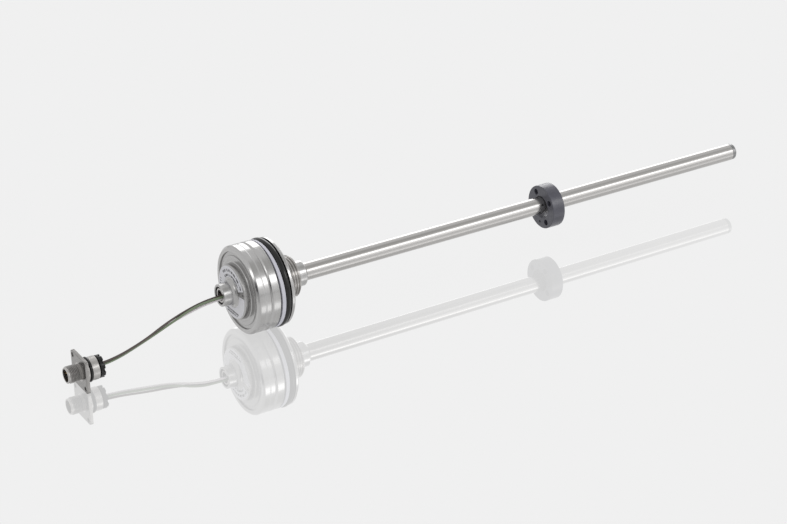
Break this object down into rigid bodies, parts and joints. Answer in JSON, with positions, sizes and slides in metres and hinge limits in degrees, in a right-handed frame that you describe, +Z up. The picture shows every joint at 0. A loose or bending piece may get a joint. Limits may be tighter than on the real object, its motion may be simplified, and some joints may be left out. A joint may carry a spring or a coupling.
{
  "type": "magnetostrictive linear position sensor",
  "caption": "Embedded position sensor: round pressure flange, sealed measuring rod with a sliding ring magnet, and a round connector on three free wires.",
  "frame": {"origin": "centre of the flange's mounting face, on the rod's axis", "axes": "+X along the rod to its tip, +Z up, +Y to the left as seen from the housing"},
  "size_m": [0.5683, 0.0642, 0.0643],
  "materials": {
    "stainless": "turned and satin stainless steel",
    "cover_steel": "fine satin stainless steel",
    "rod_steel": "drawn and polished stainless steel",
    "seal_rubber": "matt black nitrile rubber",
    "backup_plastic": "pale PTFE",
    "magnet_compound": "dark slate grey, plastic bonded ferrite",
    "nickel": "satin nickel-plated brass",
    "black_plastic": "black glass-filled plastic",
    "contact_gold": "gold-plated contact",
    "wire_brown_skin": "brown wire insulation",
    "wire_green_skin": "green wire insulation",
    "wire_white_skin": "white wire insulation",
    "outlet_plastic": "grey plastic",
    "waveguide_alloy": "nickel-iron wire",
    "ptfe": "white PTFE",
    "copper_wire": "enamelled copper",
    "damper_rubber": "soft damping rubber",
    "board_laminate": "circuit board laminate",
    "carrier_plastic": "black moulded plastic",
    "spacer_brass": "plain brass",
    "bias_ferrite": "sintered magnet"
  },
  "bodies": {
    "sensor": {"pressure_flange": "stainless", "housing_sleeve": "stainless", "rear_cover": "cover_steel", "outlet_sleeve": "outlet_plastic", "wire_grommet": "black_plastic", "flange_o_ring": "seal_rubber", "backup_ring": "backup_plastic", "housing_seal": "seal_rubber", "rod_tube": "rod_steel", "rod_end_plug": "rod_steel", "waveguide": "waveguide_alloy", "waveguide_sleeve": "ptfe", "return_conductor": "copper_wire", "centring_spacer_1": "ptfe", "centring_spacer_2": "ptfe", "centring_spacer_3": "ptfe", "centring_spacer_4": "ptfe", "damping_element": "damper_rubber", "electronics_carrier": "carrier_plastic", "board_inner": "board_laminate", "board_outer": "board_laminate", "board_spacer_1": "spacer_brass", "board_spacer_2": "spacer_brass", "board_spacer_3": "spacer_brass", "coil_bobbin": "carrier_plastic", "pickup_coil": "copper_wire", "strain_tape": "waveguide_alloy", "bias_magnet": "bias_ferrite", "connector_shell": "nickel", "connector_o_ring": "seal_rubber", "contact_insert": "black_plastic", "contact_pin_1": "contact_gold", "contact_pin_2": "contact_gold", "contact_pin_3": "contact_gold", "contact_pin_4": "contact_gold", "connector_clip_ring": "black_plastic", "wire_brown": "wire_brown_skin", "wire_green": "wire_green_skin", "wire_white": "wire_white_skin"},
    "magnet": {"ring_magnet": "magnet_compound"}
  },
  "joints": [
    {"name": "magnet_slide", "type": "slide", "parent": "sensor", "child": "magnet", "axis": [1, 0, 0], "range_m": [-0.201, 0.168]}
  ]
}
